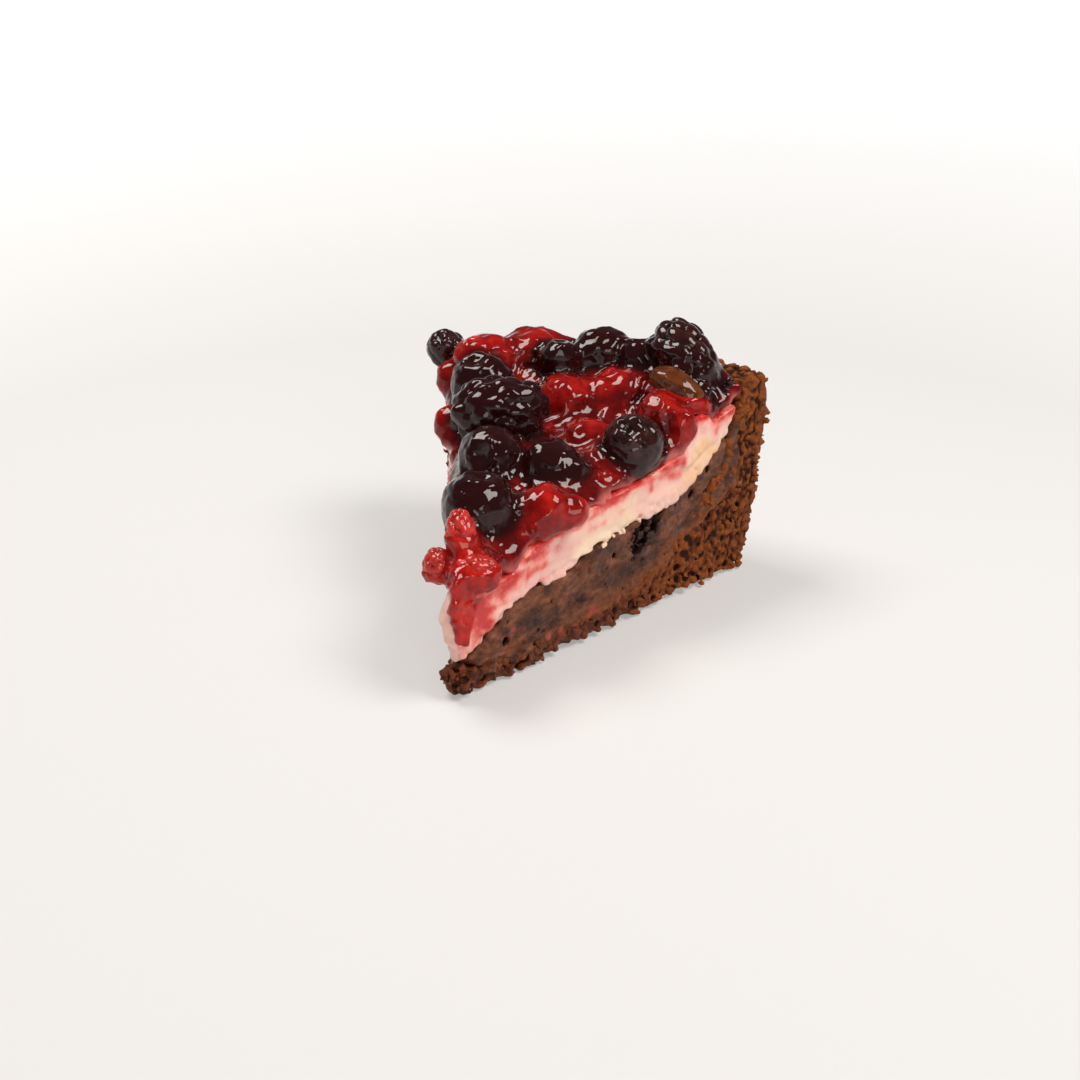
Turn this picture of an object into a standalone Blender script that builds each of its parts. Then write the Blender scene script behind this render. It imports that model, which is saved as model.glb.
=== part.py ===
"""Slice of a chocolate cake: cocoa crumb crust, chocolate filling, cream, and berries set in red jelly.

Lengths in the named values are millimetres. Places are measured from the slice's tip: across to the
right, out towards the rim, and up from the base.
"""
import math

import bmesh
import bpy
from mathutils import Matrix, Vector, noise

MM = 0.001

# the wedge
CAKE_RADIUS = 120.0
HALF_TURN = math.radians(23.1)
TIP_BACK = 62.0
TIP_BLUNT = 2.0
RIM_HEIGHT = 54.4
LAYER_GAP = 0.45
BERRY_GAP = 0.35
COLUMNS = 8
LONGEST_STEP = 5.8

# the crust, from the tip along the floor and up the rim: outer point, inner point
CRUST = [
    ((TIP_BLUNT, 0.0), (TIP_BLUNT, 8.6)),
    ((5.5, 0.0), (5.0, 7.6)),
    ((10.0, 0.0), (9.0, 5.4)),
    ((28.0, 0.0), (28.0, 5.0)),
    ((58.0, 0.0), (57.0, 5.0)),
    ((76.0, 0.0), (70.0, 9.0)),
    ((92.0, 0.0), (79.0, 13.5)),
    ((104.0, 0.0), (87.0, 19.5)),
    ((109.5, 0.0), (92.0, 23.0)),
    ((113.6, 3.2), (97.0, 26.2)),
    ((115.6, 11.0), (101.0, 29.8)),
    ((117.6, 20.0), (104.0, 35.0)),
    ((119.2, 31.0), (105.6, 41.0)),
    ((121.0, 43.0), (107.6, 47.5)),
    ((CAKE_RADIUS, RIM_HEIGHT), (112.6, RIM_HEIGHT)),
]
CRUST_LAYERS = 4

# the chocolate filling: point on the crust side, point on the cream side
FILLING = [
    ((5.0, 7.6), (5.2, 9.4)),
    ((9.0, 5.4), (9.0, 10.9)),
    ((14.0, 5.3), (14.0, 13.4)),
    ((19.0, 5.2), (19.0, 18.6)),
    ((28.0, 5.0), (28.0, 20.6)),
    ((40.0, 5.0), (40.0, 20.8)),
    ((50.0, 5.0), (51.0, 24.4)),
    ((57.0, 5.0), (62.0, 26.2)),
    ((70.0, 9.0), (76.0, 27.2)),
    ((79.0, 13.5), (85.0, 30.2)),
    ((87.0, 19.5), (90.0, 33.4)),
    ((97.0, 26.2), (97.0, 36.6)),
    ((101.0, 29.8), (101.0, 39.4)),
    ((104.4, 36.0), (103.6, 41.6)),
]

# the cream: point on the filling side, point on the jelly side
CREAM = [
    ((TIP_BLUNT, 8.8), (TIP_BLUNT, 25.6)),
    ((5.2, 9.4), (6.0, 26.2)),
    ((9.0, 10.9), (10.0, 26.4)),
    ((14.0, 13.4), (15.0, 26.6)),
    ((19.0, 18.6), (21.0, 27.2)),
    ((28.0, 20.6), (26.0, 31.2)),
    ((40.0, 20.8), (38.0, 34.4)),
    ((51.0, 24.4), (49.0, 35.6)),
    ((62.0, 26.2), (60.0, 36.8)),
    ((76.0, 27.2), (73.0, 38.2)),
    ((85.0, 30.2), (82.0, 40.0)),
    ((90.0, 33.4), (89.0, 43.0)),
    ((97.0, 36.6), (95.6, 45.4)),
    ((101.0, 39.4), (100.5, 47.0)),
    ((103.6, 41.6), (105.6, 49.0)),
]

# the jelly lies this thick on the cream, and climbs round each berry
JELLY_DEPTH = 3.6
JELLY_EDGE = 1.4
JELLY_CLIMB = 5.6
JELLY_REACH = 3.8
JELLY_COLUMNS = 12
JELLY_STEP = 5.2
JELLY_ENDS = (107.6, 109.6)
WALL_ROOM = 1.9
CREAM_DISH = 2.6
CREAM_ROOM = 1.1
WANDER = 2.4

# relief: how far crumbs and smears stand out of the cut faces and the outer wall
CRUMB_RELIEF = 1.1
FILLING_RELIEF = 0.5
CREAM_RELIEF = 0.6
JELLY_RELIEF = 0.7
CRUMB_SIZE = 5.0

# lumps on the cut faces: side (right 1, left -1), distance out, height, reach, how far it stands out
CRUST_LUMPS = [
    (1, 26.0, 3.5, 5.0, 2.4),
    (1, 37.0, 1.0, 5.0, -2.2),
    (1, 62.0, 1.0, 9.0, -1.2),
    (1, 88.0, 1.0, 7.0, -2.2),
    (-1, 4.5, 4.5, 6.5, 4.2),
    (-1, 44.0, 2.0, 6.0, -1.6),
    (-1, 80.0, 3.0, 7.0, 1.4),
]
CREAM_LUMPS = [(-1, 5.0, 18.0, 7.0, 4.4), (1, 104.0, 47.0, 5.0, 1.2)]
JELLY_LUMPS = [(-1, 12.0, 28.5, 7.0, 2.4), (-1, 68.0, 41.0, 8.0, 1.4), (-1, 90.0, 47.0, 8.0, 1.4)]
FILLING_LUMPS = [(1, 52.0, 21.0, 5.0, -1.6), (-1, 66.0, 20.0, 6.0, -1.2)]

# berries: kind, place, half its length, half its width, direction of its length
BERRIES = {
    "blueberry_back_left": ("blueberry", (-42.8, 98.3, 54.8), 5.6, 5.2, (-0.24, -0.37, 0.90)),
    "raspberry_back_left": ("raspberry", (-30.0, 94.4, 55.0), 7.8, 6.5, (0.94, 0.35, 0.0)),
    "raspberry_back": ("raspberry", (-18.2, 103.8, 55.2), 6.7, 5.7, (0.94, 0.35, 0.0)),
    "blueberry_filmed": ("blueberry", (-24.9, 80.0, 52.6), 7.6, 8.2, (-0.10, -0.28, 0.95)),
    "bramble_left": ("bramble", (-14.2, 66.3, 50.8), 11.8, 8.6, (0.94, 0.35, 0.0)),
    "blueberry_mid_back": ("blueberry", (-8.4, 97.4, 56.2), 4.8, 5.2, (-0.04, 0.11, 0.99)),
    "bramble_back": ("bramble", (0.8, 106.0, 56.8), 7.0, 6.0, (0.89, 0.42, 0.18)),
    "blueberry_back_right": ("blueberry", (12.4, 104.0, 56.6), 4.6, 4.7, (-0.14, 0.37, 0.92)),
    "bramble_top_right": ("bramble", (25.8, 101.6, 60.4), 10.8, 7.2, (0.75, -0.49, -0.45)),
    "amber_berry": ("smooth", (28.0, 88.9, 54.8), 8.2, 4.3, (0.89, -0.19, -0.41)),
    "raspberry_right": ("raspberry", (25.6, 81.0, 50.4), 4.7, 4.6, (0.76, -0.02, -0.65)),
    "blueberry_right": ("blueberry", (22.8, 67.2, 45.9), 7.6, 8.1, (0.24, -0.22, 0.94)),
    "currant_mid": ("smooth", (7.3, 76.4, 43.0), 3.9, 4.0, (0.50, -0.77, 0.39)),
    "blueberry_left": ("blueberry", (-9.9, 49.6, 44.1), 7.5, 8.2, (-0.05, -0.88, 0.47)),
    "blueberry_mid": ("blueberry", (6.3, 51.6, 42.2), 7.2, 7.5, (0.14, 0.80, 0.58)),
    "blueberry_front": ("blueberry", (-4.7, 27.6, 39.4), 8.7, 9.1, (-0.04, 0.69, 0.73)),
    "raspberry_piece": ("raspberry", (-3.3, 13.0, 38.9), 5.7, 3.6, (0.30, -0.54, -0.79)),
    "raspberry_tip_left": ("raspberry", (-8.0, 9.8, 30.9), 4.0, 3.7, (-0.14, 0.37, 0.92)),
    "raspberry_tip": ("raspberry", (2.6, 8.6, 31.4), 5.5, 4.2, (0.95, 0.27, -0.18)),
    "raspberry_low": ("raspberry", (11.0, 33.2, 39.3), 5.7, 5.7, (0.64, -0.77, 0.05)),
    "raspberry_mid_left": ("raspberry", (-3.4, 88.4, 48.4), 6.4, 6.1, (0.33, -0.87, -0.36)),
    "raspberry_mid_right": ("raspberry", (8.9, 95.3, 49.9), 6.5, 6.0, (0.94, 0.35, 0.0)),
    "raspberry_edge_back": ("raspberry", (-38.0, 88.0, 49.6), 4.0, 2.8, (0.14, -0.37, -0.92)),
    "raspberry_edge_left": ("raspberry", (-29.8, 67.8, 44.6), 4.2, 2.9, (0.14, -0.37, -0.92)),
    "currant_right": ("smooth", (33.0, 78.9, 48.9), 3.6, 2.6, (0.23, -0.34, -0.91)),
    "currant_low": ("smooth", (19.1, 35.7, 39.2), 3.2, 2.4, (0.05, -0.41, -0.91)),
}

# how finely each kind of berry is cut: steps around, steps along, how proud its drupelets stand
BERRY_KINDS = {
    "blueberry": (12, 8, 0.0),
    "smooth": (10, 7, 0.0),
    "raspberry": (10, 8, 0.12),
    "bramble": (14, 10, 0.12),
}
CROWN_DENT = 0.20
CROWN_LIP = 0.03

# colour and roughness of each material
MATERIALS = {
    "cocoa_crumb": ((0.120, 0.042, 0.016), 0.85),
    "chocolate": ((0.090, 0.042, 0.024), 0.45),
    "cream": ((0.800, 0.560, 0.420), 0.40),
    "jelly": ((0.230, 0.008, 0.010), 0.08),
    "dark_berry": ((0.022, 0.006, 0.010), 0.12),
    "red_berry": ((0.330, 0.010, 0.008), 0.15),
    "amber_skin": ((0.110, 0.032, 0.008), 0.15),
}


def clear_scene():
    for thing in list(bpy.data.objects):
        bpy.data.objects.remove(thing, do_unlink=True)


def make_materials():
    made = {}
    for name, (colour, roughness) in MATERIALS.items():
        material = bpy.data.materials.new(name)
        material.use_nodes = True
        shader = material.node_tree.nodes["Principled BSDF"]
        shader.inputs["Base Color"].default_value = (*colour, 1.0)
        shader.inputs["Roughness"].default_value = roughness
        made[name] = material
    return made


def ease(share):
    share = min(1.0, max(0.0, share))
    return share * share * (3.0 - 2.0 * share)


def mixed(first, second, share):
    return tuple(a + (b - a) * share for a, b in zip(first, second))


def stations(pairs, longest):
    """The pairs of points, with each stretch between two of them cut into even steps."""
    result = [pairs[0]]
    for before, after in zip(pairs, pairs[1:]):
        stretch = max(math.dist(before[0], after[0]), math.dist(before[1], after[1]))
        steps = max(1, math.ceil(stretch / longest))
        for step in range(1, steps + 1):
            share = step / steps
            result.append((mixed(before[0], after[0], share), mixed(before[1], after[1], share)))
    return result


def wander(out, turn):
    """How far a boundary strays up or down, more the farther it is from the right-hand cut."""
    away = 0.5 - 0.5 * turn
    return WANDER * away * noise.noise(Vector((out / 19.0, 0.9 * turn, 7.3))) * ease(out / 12.0)


def place(out, height, turn):
    """A point of the wedge from its distance out, height and share of the turn, -1 left to 1 right."""
    angle = HALF_TURN * turn
    return Vector((out * math.sin(angle), out * math.cos(angle), height))


def profile_height(points, out):
    """Height of a line of (distance out, height) points at a distance out."""
    for before, after in zip(points, points[1:]):
        if out <= after[0]:
            share = (out - before[0]) / (after[0] - before[0])
            return before[1] + (after[1] - before[1]) * max(0.0, share)
    return points[-1][1]


def cream_dish(out, turn):
    return CREAM_DISH * (1.0 - turn * turn) * ease(out / 45.0)


def cream_surface(across, along):
    """Height of the cream under the jelly, with a hollow where a berry presses on it."""
    out = math.hypot(across, along)
    turn = max(-1.0, min(1.0, math.atan2(across, along) / HALF_TURN))
    top = [pair[1] for pair in CREAM]
    height = profile_height(top, out) - cream_dish(out, turn) + wander(out, turn)
    for kind, centre, half_length, half_width, axis in BERRIES.values():
        room = half_width + CREAM_ROOM
        away = math.hypot(across - centre[0], along - centre[1])
        if away < room:
            height = min(height, centre[2] - math.sqrt(room * room - away * away))
    return height


def rough(point, size, seed):
    """Uneven crumb relief between about -1 and 1."""
    spot = Vector((point[0] / size, point[1] / size, point[2] / size + seed))
    return noise.noise(spot) + 0.6 * noise.noise(spot * 2.1)


def lumps_at(lumps, side, out, height):
    total = 0.0
    for lump_side, lump_out, lump_height, reach, stand in lumps:
        if lump_side == side:
            away = math.hypot(out - lump_out, height - lump_height) / reach
            total += stand * (1.0 - ease(away))
    return total


def push_cut_face(point, turn, out, height, relief, lumps):
    """Moves a point of a cut face in or out by the relief and the lumps there."""
    side = 1 if turn > 0.0 else -1
    angle = HALF_TURN * side
    outward = Vector((side * math.cos(angle), -side * math.sin(angle), 0.0))
    stand = relief * rough(point, CRUMB_SIZE, 3.0 * side) * ease((out - TIP_BLUNT) / 10.0)
    stand += lumps_at(lumps, side, out, height)
    return point + outward * stand


def layered_solid(name, rows, columns, across, shape, material):
    """A closed body over a grid: shape(row, turn, share) gives each point from the lower side to the upper."""
    body = bmesh.new()
    corners = {}
    for i in range(len(rows)):
        for j in range(columns + 1):
            for k in range(across + 1):
                on_skin = i in (0, len(rows) - 1) or j in (0, columns) or k in (0, across)
                if on_skin:
                    turn = 2.0 * j / columns - 1.0
                    corners[i, j, k] = body.verts.new(shape(rows[i], turn, k / across) * MM)
    last = len(rows) - 1
    for i in range(last):
        for j in range(columns):
            body.faces.new([corners[i, j, 0], corners[i, j + 1, 0], corners[i + 1, j + 1, 0], corners[i + 1, j, 0]])
            body.faces.new([corners[i, j, across], corners[i + 1, j, across],
                            corners[i + 1, j + 1, across], corners[i, j + 1, across]])
        for k in range(across):
            for j in (0, columns):
                body.faces.new([corners[i, j, k], corners[i + 1, j, k], corners[i + 1, j, k + 1], corners[i, j, k + 1]])
    for j in range(columns):
        for k in range(across):
            for i in (0, last):
                body.faces.new([corners[i, j, k], corners[i, j + 1, k], corners[i, j + 1, k + 1], corners[i, j, k + 1]])
    bmesh.ops.recalc_face_normals(body, faces=body.faces)
    return finish(name, body, material)


def finish(name, body, material):
    """Turns a bmesh into a named object that stands in the slice's own place."""
    bmesh.ops.translate(body, verts=body.verts, vec=Vector((0.0, -TIP_BACK * MM, 0.0)))
    mesh = bpy.data.meshes.new(name)
    body.to_mesh(mesh)
    body.free()
    mesh.materials.append(material)
    thing = bpy.data.objects.new(name, mesh)
    bpy.context.scene.collection.objects.link(thing)
    return thing


def make_crust(material):
    rows = stations(CRUST, LONGEST_STEP)

    def shape(row, turn, share):
        outer, inner = row
        out, height = mixed(outer, inner, share)
        on_floor = outer[1] == 0.0 and share == 0.0
        point = place(out, height, turn)
        at_rim = ease((height - 40.0) / 12.0)
        if not on_floor and share == 0.0:
            wall = CRUMB_RELIEF * 0.7 * rough(point, CRUMB_SIZE, 11.0)
            point = place(out + wall, height, turn)
        if at_rim > 0.0:
            point.z += at_rim * (0.8 * rough(point, 7.0, 5.0) - 2.2 * ease(-turn * 0.5 + 0.5))
        if abs(turn) == 1.0:
            pushed = push_cut_face(point, turn, out, height, CRUMB_RELIEF, CRUST_LUMPS)
            point = Vector((pushed.x, pushed.y, point.z))
        return point

    return layered_solid("crust", rows, COLUMNS, CRUST_LAYERS, shape, material)


def make_filling(material):
    rows = stations(FILLING, LONGEST_STEP)

    def shape(row, turn, share):
        lower, upper = row
        low = (lower[0] - LAYER_GAP * ease((lower[0] - 57.0) / 20.0), lower[1] + LAYER_GAP)
        high = (upper[0], upper[1] + wander(upper[0], turn))
        out, height = mixed(low, high, share)
        point = place(out, height, turn)
        if abs(turn) == 1.0:
            point = push_cut_face(point, turn, out, height, FILLING_RELIEF, FILLING_LUMPS)
        return point

    return layered_solid("chocolate_filling", rows, COLUMNS, 3, shape, material)


def make_cream(material):
    rows = stations(CREAM, LONGEST_STEP)

    def shape(row, turn, share):
        lower, upper = row
        low = (lower[0], lower[1] + LAYER_GAP + wander(lower[0], turn))
        above = place(upper[0], 0.0, turn)
        high = (upper[0], cream_surface(above.x, above.y))
        out, height = mixed(low, high, share)
        out -= LAYER_GAP * ease((out - 100.0) / 4.0)
        point = place(out, height, turn)
        if abs(turn) == 1.0:
            point = push_cut_face(point, turn, out, height, CREAM_RELIEF, CREAM_LUMPS)
        return point

    return layered_solid("cream_layer", rows, COLUMNS, 3, shape, material)


def climb_at(across, along):
    """How far the jelly climbs towards the nearest berries."""
    highest = 0.0
    for kind, centre, half_length, half_width, axis in BERRIES.values():
        reach = 0.5 * (half_length + half_width)
        away = math.hypot(across - centre[0], along - centre[1]) - reach
        top = min(JELLY_CLIMB, 0.75 * (centre[2] - cream_surface(across, along)))
        highest = max(highest, top * math.exp(-max(0.0, away) / JELLY_REACH))
    return highest


def make_jelly(material):
    ends = [upper for lower, upper in CREAM] + [(out, 0.0) for out in JELLY_ENDS]
    rows = stations([(end, end) for end in ends], JELLY_STEP)
    wall = [inner for outer, inner in CRUST]

    def shape(row, turn, share):
        out = row[0][0]
        flat = place(out, 0.0, turn)
        floor = max(cream_surface(flat.x, flat.y) + LAYER_GAP, profile_height(wall, out) + WALL_ROOM)
        from_edge = ease((1.0 - abs(turn)) * 4.0)
        depth = JELLY_EDGE + (JELLY_DEPTH - JELLY_EDGE) * from_edge * ease((112.0 - out) / 8.0)
        depth += climb_at(flat.x, flat.y) * (0.55 + 0.45 * from_edge)
        height = floor + depth * share
        point = place(out, height, turn)
        if abs(turn) == 1.0:
            point = push_cut_face(point, turn, out, height, JELLY_RELIEF, JELLY_LUMPS)
        return point

    return layered_solid("berry_jelly", rows, JELLY_COLUMNS, 2, shape, material)


def berry_reach(kind, tilt, step, grow):
    """Distance of a berry's skin from its middle, as a share of its half width."""
    around, along, proud = BERRY_KINDS[kind]
    share = 1.0
    if proud and 0 < step[1] < along:
        share += proud * math.sin(tilt) * (0.5 if (step[0] + step[1]) % 2 else -0.5)
    if kind == "blueberry":
        share -= CROWN_DENT * (1.0 - ease(tilt / 0.35))
        share += CROWN_LIP * (1.0 - ease(abs(tilt - 0.42) / 0.3))
    return share + grow


def make_berry(name, material, grow=0.0):
    kind, centre, half_length, half_width, axis = BERRIES[name]
    around, along, proud = BERRY_KINDS[kind]
    body = bmesh.new()
    rings = []
    swell = grow / min(half_length, half_width)
    for j in range(along + 1):
        tilt = math.pi * j / along
        count = 1 if j in (0, along) else around
        ring = []
        for i in range(count):
            spin = 2.0 * math.pi * i / around
            share = berry_reach(kind, tilt, (i, j), swell)
            wide = half_width * share * math.sin(tilt)
            ring.append(body.verts.new((wide * math.cos(spin), wide * math.sin(spin),
                                        half_length * share * math.cos(tilt))))
        rings.append(ring)
    for before, after in zip(rings, rings[1:]):
        for i in range(around):
            near = [before[i % len(before)], before[(i + 1) % len(before)]]
            far = [after[(i + 1) % len(after)], after[i % len(after)]]
            corners = list(dict.fromkeys(near + far))
            body.faces.new(corners)
    turned = Vector((0.0, 0.0, 1.0)).rotation_difference(Vector(axis)).to_matrix().to_4x4()
    move = Matrix.Scale(MM, 4) @ Matrix.Translation(centre) @ turned
    bmesh.ops.transform(body, matrix=move, verts=body.verts)
    bmesh.ops.recalc_face_normals(body, faces=body.faces)
    bmesh.ops.triangulate(body, faces=body.faces)
    berry = finish(name if not grow else name + "_hollow", body, material)
    berry.data.polygons.foreach_set("use_smooth", [True] * len(berry.data.polygons))
    return berry


def hollow_for_berries(thing, material):
    """Cuts room for every berry out of a layer, and keeps the layer's largest body."""
    for name in BERRIES:
        cutter = make_berry(name, material, BERRY_GAP)
        cutter.hide_render = True
        cutter.display_type = "WIRE"
        cut = thing.modifiers.new(name, "BOOLEAN")
        cut.operation = "DIFFERENCE"
        cut.solver = "EXACT"
        cut.object = cutter
    applied = bpy.data.meshes.new_from_object(thing.evaluated_get(bpy.context.evaluated_depsgraph_get()))
    thing.modifiers.clear()
    old = thing.data
    thing.data = applied
    bpy.data.meshes.remove(old)
    for name in BERRIES:
        bpy.data.objects.remove(bpy.data.objects[name + "_hollow"], do_unlink=True)
    keep_largest_body(thing.data)


def keep_largest_body(mesh):
    body = bmesh.new()
    body.from_mesh(mesh)
    unseen = set(body.verts)
    groups = []
    while unseen:
        group = {unseen.pop()}
        front = list(group)
        while front:
            corner = front.pop()
            for edge in corner.link_edges:
                other = edge.other_vert(corner)
                if other in unseen:
                    unseen.discard(other)
                    group.add(other)
                    front.append(other)
        groups.append(group)
    groups.sort(key=len)
    for group in groups[:-1]:
        bmesh.ops.delete(body, geom=list(group), context="VERTS")
    body.to_mesh(mesh)
    body.free()


def skin_of(name, materials):
    kind = BERRIES[name][0]
    if name == "amber_berry":
        return materials["amber_skin"]
    if kind in ("raspberry", "smooth"):
        return materials["red_berry"]
    return materials["dark_berry"]


def main():
    clear_scene()
    materials = make_materials()
    make_crust(materials["cocoa_crumb"])
    make_filling(materials["chocolate"])
    make_cream(materials["cream"])
    jelly = make_jelly(materials["jelly"])
    hollow_for_berries(jelly, materials["jelly"])
    for name in BERRIES:
        make_berry(name, skin_of(name, materials))


main()
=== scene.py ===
"""Looks of the slice of chocolate cake: crumb crust, chocolate, cream, and berries under red jelly.

Lengths are millimetres in the slice's own frame, metres in Blender.
"""

import math

import bpy
import numpy as np
import openvdb
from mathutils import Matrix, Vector


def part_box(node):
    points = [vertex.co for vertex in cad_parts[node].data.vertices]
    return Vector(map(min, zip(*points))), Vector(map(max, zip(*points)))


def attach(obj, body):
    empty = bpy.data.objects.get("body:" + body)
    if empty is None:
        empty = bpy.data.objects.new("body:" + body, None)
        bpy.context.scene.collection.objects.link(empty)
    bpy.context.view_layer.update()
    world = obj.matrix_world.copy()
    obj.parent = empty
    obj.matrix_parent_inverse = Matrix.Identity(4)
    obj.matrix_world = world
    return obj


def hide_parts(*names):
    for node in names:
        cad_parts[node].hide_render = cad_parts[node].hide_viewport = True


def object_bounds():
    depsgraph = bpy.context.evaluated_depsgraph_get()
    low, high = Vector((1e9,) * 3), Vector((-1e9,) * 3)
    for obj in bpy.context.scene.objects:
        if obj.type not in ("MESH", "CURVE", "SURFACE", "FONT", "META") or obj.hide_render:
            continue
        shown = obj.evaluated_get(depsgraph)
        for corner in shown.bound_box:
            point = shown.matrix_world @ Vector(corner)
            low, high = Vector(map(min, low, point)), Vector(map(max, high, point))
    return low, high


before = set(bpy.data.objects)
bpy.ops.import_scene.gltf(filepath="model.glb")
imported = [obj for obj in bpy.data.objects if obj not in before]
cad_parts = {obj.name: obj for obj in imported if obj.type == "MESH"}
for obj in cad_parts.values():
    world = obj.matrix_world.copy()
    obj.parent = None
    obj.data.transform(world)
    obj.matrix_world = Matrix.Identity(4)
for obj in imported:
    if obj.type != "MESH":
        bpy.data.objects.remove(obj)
CAD_LOW, CAD_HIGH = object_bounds()

MM = 0.001
TIP = np.array((0.0, -62.0, 0.0))
HALF_TURN = math.radians(23.1)
# spacing of the points that the pieces' surfaces are worked out on
CAKE_STEP = 0.42
JELLY_STEP = 0.49
# how far from a surface the distance to it is known
BAND = 3.0
# the crust's outer wall, from the tip, and its underside
WALL_OUT = 118.6
UNDERSIDE = 0.05

# edges of the layers on the cuts: distances from the tip, and the heights there
FILLING_FOOT = ([0, 40, 55, 69, 77, 84, 99, 107, 112], [3.4, 3.6, 5.0, 8.0, 10.5, 15, 20, 26.5, 34])
CREAM_FOOT = ([0, 20, 38, 60, 82, 100], [14.0, 17.0, 22.0, 25.5, 31.0, 40.0])
CREAM_TOP = ([2, 21, 26, 38, 60, 82, 95, 105], [25.6, 27.2, 31, 34.4, 36.8, 40, 45.4, 49])
CREAM_HANG = ([77, 80, 84, 90, 94, 97, 99], [27.6, 27.2, 28.8, 31.6, 34.4, 37.0, 38.0])
# how far cream is smeared up over the jelly on the right cut, and how far down the jelly stains it
CREAM_PEAK = ([84, 87, 90, 94, 97], [0, 5.5, 7.0, 4.7, 0])
STAIN_REACH = ([0, 10, 20, 42, 54, 66, 78, 90, 100], [26, 24, 19, 12.5, 6.5, 6.0, 7.0, 6.0, 5.0])
# the red run at the tip: how far out it starts and how wide it is, at some heights
RUN_HEIGHTS = [14, 19, 23.5, 28, 31]
RUN_START = [3.0, 1.0, 0.0, 0.0, 0.0]
RUN_WIDTH = [0.6, 4.0, 7.5, 12.5, 14.0]
# the middle of the hollow in the filling, which is painted dark as shade, and how it rises outwards
HOLLOW_OUT = 71.5
HOLLOW_HEIGHT = 23.0
HOLLOW_SLOPE = 0.5
# holes and red bits in the filling: distance out, height, radius
FILLING_HOLES = (
    (73.0, 25.0, 3.6), (70.0, 22.0, 3.4), (75.5, 26.5, 2.6), (66.8, 20.5, 2.9),
    (17.5, 10.0, 1.4), (89.0, 28.0, 1.4), (96.0, 33.0, 1.2), (58.0, 20.0, 1.0),
)
RED_BITS = (
    (49.0, 8.0, 1.3), (51.0, 7.0, 1.0), (47.5, 6.6, 0.9), (20.0, 12.5, 0.8),
    (33.0, 5.8, 0.9), (38.0, 5.4, 1.0), (42.5, 5.0, 0.8), (60.0, 7.5, 0.8),
)

# the photo's view: width and focal length in its own pixels, and the camera's place and turn
PHOTO_WIDTH = 1080.0
FOCAL_LENGTH = 1982.2
CAMERA_PLACE = (0.16902, -0.45488, 0.22947)
CAMERA_TURN = math.radians(20.5)
CAMERA_DIP = math.radians(23.6)
# the world's brightness by height, and the lamps: name, place, size, power
SKY = ((0.0, 1.0), (0.06, 0.75), (0.14, 0.5), (0.34, 0.10))
LAMPS = (
    ("over_left", (-0.42, 0.12, 0.80), (0.44, 0.37), 6.2),
    ("over_right", (0.50, 0.02, 0.78), (0.44, 0.37), 6.2),
    ("front", (0.55, -0.85, 0.45), (0.50, 0.40), 2.6),
)
LAMP_TARGET = (0, 0, 0.03)

# the berries: kind, half length, half width, direction of the length, how the jelly film covers it
BERRIES = {
    "blueberry_back_left": ("bramble", 5.6, 5.2, (-0.24, -0.37, 0.90), 0.0),
    "raspberry_back_left": ("raspberry", 7.8, 6.5, (0.94, 0.35, 0.0), 0.9),
    "raspberry_back": ("raspberry", 6.7, 5.7, (0.94, 0.35, 0.0), 1.0),
    "blueberry_filmed": ("blueberry", 7.6, 8.2, (-0.10, -0.28, 0.95), 1.0),
    "bramble_left": ("bramble", 11.8, 8.6, (0.94, 0.35, 0.0), 1.0),
    "blueberry_mid_back": ("blueberry", 4.8, 5.2, (-0.04, 0.11, 0.99), 1.0),
    "bramble_back": ("bramble", 7.0, 6.0, (0.89, 0.42, 0.18), 1.5),
    "blueberry_back_right": ("blueberry", 4.6, 4.7, (-0.14, 0.37, 0.92), 1.0),
    "bramble_top_right": ("bramble", 10.8, 7.2, (0.75, -0.49, -0.45), 0.6),
    "amber_berry": ("smooth", 8.2, 4.3, (0.89, -0.19, -0.41), 0.25),
    "raspberry_right": ("raspberry", 4.7, 4.6, (0.76, -0.02, -0.65), 1.0),
    "blueberry_right": ("blueberry", 7.6, 8.1, (0.05, -0.62, 0.78), 0.12),
    "currant_mid": ("smooth", 3.9, 4.0, (0.50, -0.77, 0.39), 1.0),
    "blueberry_left": ("blueberry", 7.5, 8.2, (-0.05, -0.88, 0.47), 0.95),
    "blueberry_mid": ("blueberry", 7.2, 7.5, (0.14, 0.80, 0.58), 1.0),
    "blueberry_front": ("blueberry", 8.7, 9.1, (0.15, 0.05, 0.99), 0.9),
    "raspberry_piece": ("raspberry", 5.7, 3.6, (0.30, -0.54, -0.79), 0.35),
    "raspberry_tip_left": ("raspberry", 4.0, 3.7, (-0.14, 0.37, 0.92), 0.2),
    "raspberry_tip": ("raspberry", 5.5, 4.2, (0.95, 0.27, -0.18), 0.6),
    "raspberry_low": ("smooth", 5.7, 5.7, (0.64, -0.77, 0.05), 1.0),
    "raspberry_mid_left": ("raspberry", 6.4, 6.1, (0.33, -0.87, -0.36), 1.0),
    "raspberry_mid_right": ("raspberry", 6.5, 6.0, (0.94, 0.35, 0.0), 1.0),
    "raspberry_edge_back": ("raspberry", 4.0, 2.8, (0.14, -0.37, -0.92), 1.0),
    "raspberry_edge_left": ("raspberry", 4.2, 2.9, (0.14, -0.37, -0.92), 1.0),
    "currant_right": ("smooth", 3.6, 2.6, (0.23, -0.34, -0.91), 1.0),
    "currant_low": ("smooth", 3.2, 2.4, (0.05, -0.41, -0.91), 1.0),
}


def ease(share):
    share = np.clip(share, 0.0, 1.0)
    return share * share * (3.0 - 2.0 * share)


def blend(first, second, reach):
    """Smooth union of two distance fields."""
    share = np.clip(0.5 + 0.5 * (second - first) / reach, 0.0, 1.0)
    return second + (first - second) * share - reach * share * (1.0 - share)


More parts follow.
